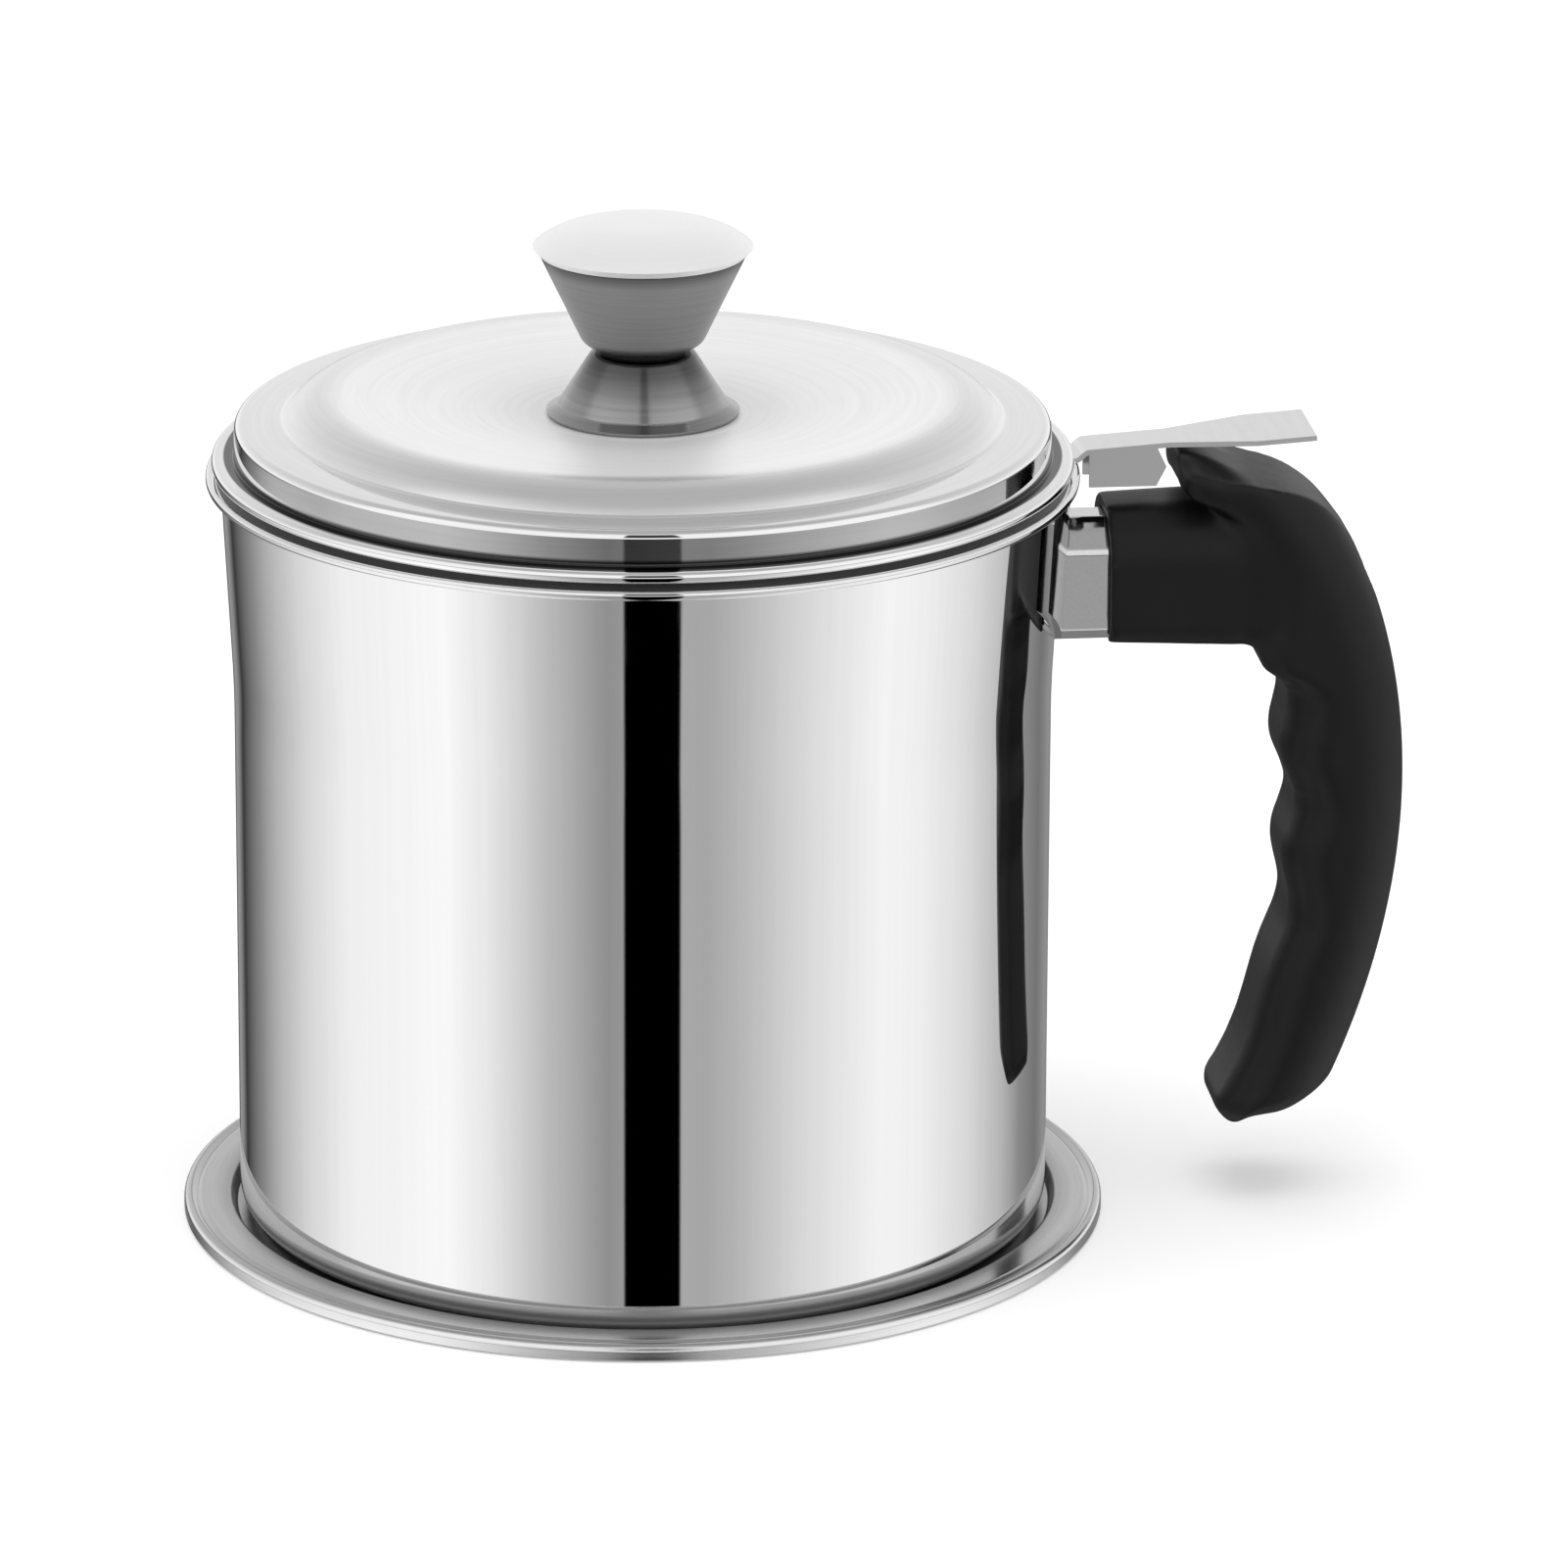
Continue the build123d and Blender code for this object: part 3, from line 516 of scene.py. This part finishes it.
NODE_FINISH = {
    "drip_tray": "tray",
    "pot_body": "pot",
    "handle_bracket": "bracket",
    "bracket_plug": "fastener",
    "handle_grip": "grip",
    "handle_washer": "fastener",
    "handle_screw": "fastener",
    "strainer_rim": "strainer",
    "strainer_mesh": "wire",
    "mesh_band": "strainer",
    "strainer_handle": "strip",
    "lid_shell": "lid",
    "lid_plug_ring": "lid",
    "knob_skirt": "skirt",
    "knob_collar": "collar",
    "knob_cup": "cup",
    "knob_cap": "cap",
    "knob_nut": "fastener",
    "knob_washer": "fastener",
    "knob_screw": "fastener",
}


# Pieces

# Sections of the turned pieces in millimetres: centre line and thicker edge as (radius, height, bend)
MILLIMETRE = 0.001
BEND_HOLD = 0.02  # gap to the points that keep a straight stretch flat up to its bend
EDGE_BEND = 0.12
STRAIGHT = 0.004  # turns smaller than this are kept as corners
ARC_STEP = 6.0  # degrees
TURN_SEGMENTS = 288
POT_SHEET = 0.8
POT_LINE = [(0.0, 1.0, 0.0), (59.7, 1.0, 3.6), (59.7, 81.3, 150.0), (61.327, 112.3, 0.0)]
POT_EDGE = [(61.0, 113.7, 0.4), (63.9, 113.7, 0.62), (63.9, 112.3, 0.62)]
LID_SHEET = 0.7
LID_LINE = [
    (2.25, 121.76, 0.0),
    (16.0, 121.76, 12.0),
    (49.4, 125.26, 8.0),
    (52.6, 121.08, 1.2),
    (59.25, 120.96, 0.8),
    (59.55, 115.86, 0.5),
    (60.9, 115.86, 0.0),
]
LID_EDGE = [(63.0, 116.21, 0.79), (63.0, 114.46, 0.79), (60.9, 114.46, EDGE_BEND)]
TRAY_SHEET = 0.6
TRAY_LINE = [
    (0.0, 0.3, 0.0),
    (60.8, 0.3, 0.5),
    (61.6, 2.3, 0.5),
    (65.8, 2.3, 0.5),
    (66.55, 1.85, 0.4),
    (67.3, 2.3, 0.4),
    (68.2, 2.3, 0.8),
    (68.2, 0.3, 0.0),
]

# Wire cloth in metres: the bowl's line as (radius, height, bend), the weave's pitch and a wire's radius
CLOTH_LINE = [
    (0.0, 0.0787, 0.0),
    (0.04599, 0.0787, 0.016),
    (0.05859, 0.1007, 0.0012),
    (0.05859, 0.1046, 0.0),
]
CLOTH_PITCH = 0.00127
CLOTH_WIRE = 0.00019

# Grip in metres
GRIP_VOXEL = 0.0005
GRIP_HALF_WIDTH = 0.0117
GRIP_LEVEL = 0.001  # height of the slices in which the finger side is found
GRIP_ARM_ROUND = 0.0030
GRIP_FINGER_ROUND = 0.0070
GRIP_FINGER_TOP = 0.0860
GRIP_FINGER_FULL = 0.0790
GRIP_CREST_DROP = 0.0016
GRIP_CREST_RISE = (0.1080, 0.1115)
GRIP_CREST_END = (0.0890, 0.0835)
GRIP_CREST_SIDE = (0.0040, 0.0110)
GRIP_SEAM = [(0.0783, 0.1101), (0.0861, 0.1059), (0.0905, 0.1010), (0.0916, 0.0971), (0.0916, 0.0879)]
GRIP_SEAM_REACH = (0.0052, 0.0015)
GRIP_SEAM_SIDE = (0.0060, 0.0085)
GRIP_SEAM_TURNS = 90
GRIP_LAST_SOFTNESS = 0.8
GRIP_LAST_TURNS = 3
RELAX_STEP = 0.5


def plain_mesh(host):
    """Mesh that an object's modifiers make, without the modifiers."""
    depsgraph = bpy.context.evaluated_depsgraph_get()
    mesh = bpy.data.meshes.new_from_object(host.evaluated_get(depsgraph), depsgraph=depsgraph)
    bpy.data.objects.remove(host)
    return mesh


def new_object(name, mesh):
    piece = bpy.data.objects.new(name, mesh)
    bpy.context.scene.collection.objects.link(piece)
    return piece


def new_line(name, spots):
    """Object with one open line through points."""
    mesh = bpy.data.meshes.new(name)
    mesh.from_pydata(spots, [(spot, spot + 1) for spot in range(len(spots) - 1)], [])
    return new_object(name, mesh)


def new_tree(name, inputs, output):
    """Geometry Nodes tree with named inputs, and the sockets that give them."""
    tree = bpy.data.node_groups.new(name, "GeometryNodeTree")
    for socket, kind in inputs.items():
        tree.interface.new_socket(socket, in_out="INPUT", socket_type=kind)
    tree.interface.new_socket(output, in_out="OUTPUT", socket_type="NodeSocketGeometry")
    return tree, add_node(tree, "NodeGroupInput").outputs


def end_tree(tree, shape, finish):
    """Last nodes of a tree: smooth shading, real instances and the finish."""
    smooth = add_node(tree, "GeometryNodeSetShadeSmooth", inputs={"Geometry": shape})
    real = add_node(tree, "GeometryNodeRealizeInstances", inputs={"Geometry": smooth.outputs[0]})
    dressed = add_node(
        tree, "GeometryNodeSetMaterial", inputs={"Geometry": real.outputs[0], "Material": finish}
    )
    tree.links.new(dressed.outputs[0], add_node(tree, "NodeGroupOutput").inputs[0])


def run_tree(tree, host, values):
    """Mesh that a tree makes of a host, which goes, with the tree's inputs set by name."""
    rule = host.modifiers.new(tree.name, "NODES")
    rule.node_group = tree
    for socket in tree.interface.items_tree:
        if socket.name in values:
            rule[socket.identifier] = values[socket.name]
    return plain_mesh(host)


def rounded(corners):
    """Points of a line through (radius, height, bend) corners, held straight up to each bend."""
    places = [np.array(corner[:2]) for corner in corners]
    line = [places[0]]
    for before, place, after, corner in zip(places, places[1:], places[2:], corners[1:]):
        into = (place - before) / np.linalg.norm(place - before)
        out = (after - place) / np.linalg.norm(after - place)
        turn = math.atan2(into[0] * out[1] - into[1] * out[0], into @ out)
        if abs(turn) < STRAIGHT:
            line.append(place)
            continue
        run = corner[2] * math.tan(abs(turn) / 2.0)
        steps = max(6, round(abs(turn) / math.radians(ARC_STEP)))
        line.append(place - into * (run + BEND_HOLD))
        point = place - into * run
        line.append(point)
        for step in range(steps):
            angle = turn * (step + 0.5) / steps
            ahead = into * math.cos(angle) + np.array([-into[1], into[0]]) * math.sin(angle)
            point = point + ahead * corner[2] * 2.0 * math.sin(abs(turn) / steps / 2.0)
            line.append(point)
        line.append(place + out * (run + BEND_HOLD))
    return line + [places[-1]]


def beside(corners, shift):
    """Corners of the line that runs to the left of a centre line, or right if shift is negative."""
    places = [np.array(corner[:2]) for corner in corners]
    runs = [after - before for before, after in zip(places, places[1:])]
    normals = [np.array([-run[1], run[0]]) / np.linalg.norm(run) for run in runs]
    line = [(*(places[0] + normals[0] * shift), 0.0)]
    for corner, place, before, after in zip(corners[1:], places[1:], normals, normals[1:]):
        mitre = before + after
        crossing = shift * (before[0] * after[1] - before[1] * after[0])
        bend = corner[2] - math.copysign(shift, crossing)
        line.append((*(place + mitre * shift / (mitre @ before)), bend))
    return line + [(*(places[-1] + normals[-1] * shift), EDGE_BEND)]


def turning_tree():
    """Node tree that turns a section's points about the axis and joins the seam and the poles."""
    sockets = {
        "Section": "NodeSocketGeometry",
        "Segments": "NodeSocketInt",
        "Finish": "NodeSocketMaterial",
    }
    tree, given = new_tree("turned_sheet", sockets, "Piece")
    size = add_node(
        tree, "GeometryNodeAttributeDomainSize", {"component": "MESH"}, {"Geometry": given["Section"]}
    )
    columns = Signal(tree, given["Segments"]) + 1.0
    grid = add_node(
        tree,
        "GeometryNodeMeshGrid",
        inputs={"Vertices X": size.outputs["Point Count"], "Vertices Y": columns},
    ).outputs["Mesh"]
    index = Signal(tree, add_node(tree, "GeometryNodeInputIndex").outputs[0])
    row = ((index + 0.5) / columns).math("FLOOR")
    place = add_node(tree, "GeometryNodeInputPosition").outputs[0]
    spot = add_node(
        tree,
        "GeometryNodeSampleIndex",
        {"data_type": "FLOAT_VECTOR", "domain": "POINT"},
        {"Geometry": given["Section"], "Value": place, "Index": row},
    ).outputs[0]
    across = add_node(tree, "ShaderNodeSeparateXYZ", inputs={0: spot}).outputs
    radius = Signal(tree, across[0])
    angle = (index - row * columns) * math.tau / Signal(tree, given["Segments"])
    laid = add_node(
        tree,
        "ShaderNodeCombineXYZ",
        inputs={0: radius * angle.math("COSINE"), 1: radius * angle.math("SINE"), 2: across[2]},
    ).outputs[0]
    shaped = add_node(
        tree, "GeometryNodeSetPosition", inputs={"Geometry": grid, "Position": laid}
    ).outputs[0]
    joined = add_node(
        tree, "GeometryNodeMergeByDistance", inputs={"Geometry": shaped, "Distance": 1.0e-6}
    ).outputs[0]
    end_tree(tree, joined, given["Finish"])
    return tree


def make_turned(tree, node, body, sheet, line, edge, finish):
    """Turned sheet piece: a section's outside, its thicker edge and back along its inside."""
    corners = beside(line, sheet / 2.0) + edge + beside(line, -sheet / 2.0)[::-1]
    section = rounded(corners + corners[:1] if line[0][0] > 0.0 else corners)
    spots = [(radius * MILLIMETRE, 0.0, height * MILLIMETRE) for radius, height in section]
    host = new_line(node + "_section", spots)
    mesh = run_tree(tree, host, {"Segments": TURN_SEGMENTS, "Finish": finish})
    piece = new_object(node + "_turned", mesh)
    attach(piece, body)
    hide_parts(node)


def weave(tree, given, line, across):
    """Wires one way: straight on a flat sheet, laid on the bowl by distance from its middle."""
    pitch = Signal(tree, given["Pitch"])
    reach = Signal(tree, add_node(tree, "GeometryNodeCurveLength", inputs={0: line}).outputs[0])
    count = (reach / pitch).math("CEIL") * 2.0 + 1.0
    side = (count - 1.0) * pitch
    sheet = add_node(
        tree,
        "GeometryNodeMeshGrid",
        inputs={"Size X": side, "Size Y": side, "Vertices X": count, "Vertices Y": count},
    ).outputs["Mesh"]
    place = add_node(tree, "GeometryNodeInputPosition").outputs[0]
    apart = add_node(tree, "ShaderNodeSeparateXYZ", inputs={0: place})
    x, y = Signal(tree, apart.outputs[0]), Signal(tree, apart.outputs[1])
    distance = (x * x + y * y).math("SQRT")
    round_sheet = add_node(
        tree,
        "GeometryNodeDeleteGeometry",
        {"domain": "POINT"},
        {"Geometry": sheet, "Selection": distance.math("GREATER_THAN", reach)},
    ).outputs[0]
    ends = add_node(tree, "GeometryNodeInputMeshEdgeVertices")
    step = add_node(
        tree,
        "ShaderNodeVectorMath",
        {"operation": "SUBTRACT"},
        {0: ends.outputs["Position 1"], 1: ends.outputs["Position 2"]},
    ).outputs[0]
    along = add_node(tree, "ShaderNodeSeparateXYZ", inputs={0: step}).outputs[across]
    wires = add_node(
        tree,
        "GeometryNodeDeleteGeometry",
        {"domain": "EDGE", "mode": "EDGE_FACE"},
        {"Geometry": round_sheet, "Selection": Signal(tree, along).math("ABSOLUTE") * 2.0 / pitch},
    ).outputs[0]
    sample = add_node(
        tree, "GeometryNodeSampleCurve", {"mode": "LENGTH"}, {"Curves": line, "Length": distance}
    )
    spot = add_node(tree, "ShaderNodeSeparateXYZ", inputs={0: sample.outputs["Position"]}).outputs
    slope = add_node(tree, "ShaderNodeSeparateXYZ", inputs={0: sample.outputs["Tangent"]}).outputs
    crossing = ((x / pitch).math("ROUND") + (y / pitch).math("ROUND")).math("FLOORED_MODULO", 2.0)
    lift = (crossing * 2.0 - 1.0) * Signal(tree, given["Wire Radius"]) * (1.0 - 2.0 * across)
    outward = Signal(tree, spot[0]) - Signal(tree, slope[2]) * lift
    upward = Signal(tree, spot[2]) + Signal(tree, slope[0]) * lift
    spread = outward / distance.math("MAXIMUM", 1.0e-6)
    laid = add_node(tree, "ShaderNodeCombineXYZ", inputs={0: x * spread, 1: y * spread, 2: upward})
    bent = add_node(
        tree, "GeometryNodeSetPosition", inputs={"Geometry": wires, "Position": laid.outputs[0]}
    ).outputs[0]
    path = add_node(tree, "GeometryNodeMeshToCurve", inputs={"Mesh": bent}).outputs[0]
    section = add_node(
        tree,
        "GeometryNodeCurvePrimitiveCircle",
        inputs={"Resolution": 4, "Radius": given["Wire Radius"]},
    ).outputs[0]
    return add_node(
        tree,
        "GeometryNodeCurveToMesh",
        inputs={"Curve": path, "Profile Curve": section, "Fill Caps": True},
    ).outputs[0]


def make_wire_cloth(finish):
    """Woven bowl of the strainer: wires over and under, pressed to the bowl's shape."""
    sockets = {
        "Line": "NodeSocketGeometry",
        "Pitch": "NodeSocketFloat",
        "Wire Radius": "NodeSocketFloat",
        "Finish": "NodeSocketMaterial",
    }
    tree, given = new_tree("woven_bowl", sockets, "Cloth")
    corners = add_node(tree, "GeometryNodeMeshToCurve", inputs={"Mesh": given["Line"]}).outputs[0]
    bend = add_node(tree, "GeometryNodeInputNamedAttribute", {"data_type": "FLOAT"}, {"Name": "bend"})
    line = add_node(
        tree,
        "GeometryNodeFilletCurve",
        {"mode": "POLY"},
        {"Curve": corners, "Radius": bend.outputs["Attribute"], "Limit Radius": True, "Count": 16},
    ).outputs[0]
    both = add_node(tree, "GeometryNodeJoinGeometry")
    for across in (0, 1):
        tree.links.new(weave(tree, given, line, across), both.inputs[0])
    end_tree(tree, both.outputs[0], given["Finish"])

    host = new_line("bowl_line", [(radius, 0.0, height) for radius, height, _ in CLOTH_LINE])
    bends = host.data.attributes.new("bend", "FLOAT", "POINT")
    bends.data.foreach_set("value", [corner[2] for corner in CLOTH_LINE])
    values = {"Pitch": CLOTH_PITCH, "Wire Radius": CLOTH_WIRE, "Finish": finish}
    cloth = new_object("wire_cloth", run_tree(tree, host, values))
    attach(cloth, "strainer")
    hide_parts("strainer_mesh")


def smoothstep(value, low, high):
    """Smooth step from 0 at low to 1 at high."""
    step = np.clip((value - low) / (high - low), 0.0, 1.0)
    return step * step * (3.0 - 2.0 * step)


def distance_to_line(points, line):
    """Distance from (x, z) points to a polyline."""
    nearest = np.full(len(points), np.inf)
    for start, end in zip(np.array(line[:-1]), np.array(line[1:])):
        run = end - start
        share = np.clip((points - start) @ run / (run @ run), 0.0, 1.0)
        nearest = np.minimum(nearest, np.linalg.norm(points - start - share[:, None] * run, axis=1))
    return nearest


def relax(points, edges, weight, turns):
    """Moves points towards their neighbours' mean, as far as their weight lets them."""
    count = np.bincount(edges.ravel(), minlength=len(points))[:, None]
    for _ in range(turns):
        total = np.zeros_like(points)
        np.add.at(total, edges[:, 0], points[edges[:, 1]])
        np.add.at(total, edges[:, 1], points[edges[:, 0]])
        points = points + (total / count - points) * weight[:, None] * RELAX_STEP
    return points


def make_grip(finish):
    """Moulded grip: the arm runs softly into the body and the finger side is well rounded."""
    shape = bmesh.new()
    shape.from_mesh(nodes["handle_grip"].data)
    bmesh.ops.remove_doubles(shape, verts=shape.verts, dist=1.0e-6)
    mesh = bpy.data.meshes.new("grip_copy")
    shape.to_mesh(mesh)
    shape.free()
    host = new_object("grip_copy", mesh)
    moulding = host.modifiers.new("moulding", "REMESH")
    moulding.mode = "VOXEL"
    moulding.voxel_size = GRIP_VOXEL
    mesh = plain_mesh(host)
    points = np.empty(len(mesh.vertices) * 3)
    mesh.vertices.foreach_get("co", points)
    points = points.reshape(-1, 3)
    edges = np.empty(len(mesh.edges) * 2, dtype=np.int32)
    mesh.edges.foreach_get("vertices", edges)
    edges = edges.reshape(-1, 2)

    # Rounds the edges of the finger side, slice by slice
    x, y, z = points.T
    levels = np.arange(z.min(), z.max(), GRIP_LEVEL)
    rows = np.digitize(z, levels) - 1
    finger_side = [x[rows == row].min() for row in range(len(levels))]
    depth = x - np.interp(z, levels + GRIP_LEVEL / 2.0, finger_side)
    finger = smoothstep(z, GRIP_FINGER_TOP, GRIP_FINGER_FULL)
    round_off = GRIP_ARM_ROUND + (GRIP_FINGER_ROUND - GRIP_ARM_ROUND) * finger
    inset = np.maximum(round_off - depth, 0.0)
    outset = np.maximum(np.abs(y) - (GRIP_HALF_WIDTH - round_off), 0.0)
    reach = np.hypot(inset, outset)
    sharp = (reach > round_off) & (inset > 0.0) & (z < GRIP_FINGER_TOP)
    pull = np.divide(round_off, reach, out=np.ones_like(reach), where=sharp)
    x += inset * (1.0 - pull)
    y -= np.sign(y) * outset * (1.0 - pull)

    # Drops the crest to both sides, then softens the seam of arm and body and the whole skin
    crest = smoothstep(z, *GRIP_CREST_RISE) * smoothstep(x, *GRIP_CREST_END)
    z -= crest * GRIP_CREST_DROP * smoothstep(np.abs(y), *GRIP_CREST_SIDE)
    seam = distance_to_line(points[:, [0, 2]], GRIP_SEAM)
    soft = smoothstep(seam, *GRIP_SEAM_REACH) * smoothstep(np.abs(y), *GRIP_SEAM_SIDE)
    points = relax(points, edges, soft, GRIP_SEAM_TURNS)
    points = relax(points, edges, np.full(len(points), GRIP_LAST_SOFTNESS), GRIP_LAST_TURNS)
    mesh.vertices.foreach_set("co", points.ravel())
    mesh.shade_smooth()
    mesh.materials.clear()
    mesh.materials.append(finish)
    grip = new_object("moulded_grip", mesh)
    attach(grip, "pot")
    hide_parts("handle_grip")


# Making

make_camera()
make_studio()
make_skylight()
make_floor()
bpy.context.scene.view_settings.view_transform = "Standard"

for name, piece in nodes.items():
    piece.data.materials.clear()
    piece.data.materials.append(FINISHES[NODE_FINISH[name]])

turning = turning_tree()
make_turned(turning, "drip_tray", "tray", TRAY_SHEET, TRAY_LINE, [], FINISHES["tray"])
make_turned(turning, "pot_body", "pot", POT_SHEET, POT_LINE, POT_EDGE, FINISHES["pot"])
make_turned(turning, "lid_shell", "lid", LID_SHEET, LID_LINE, LID_EDGE, FINISHES["lid"])
make_wire_cloth(FINISHES["wire"])
make_grip(FINISHES["grip"])
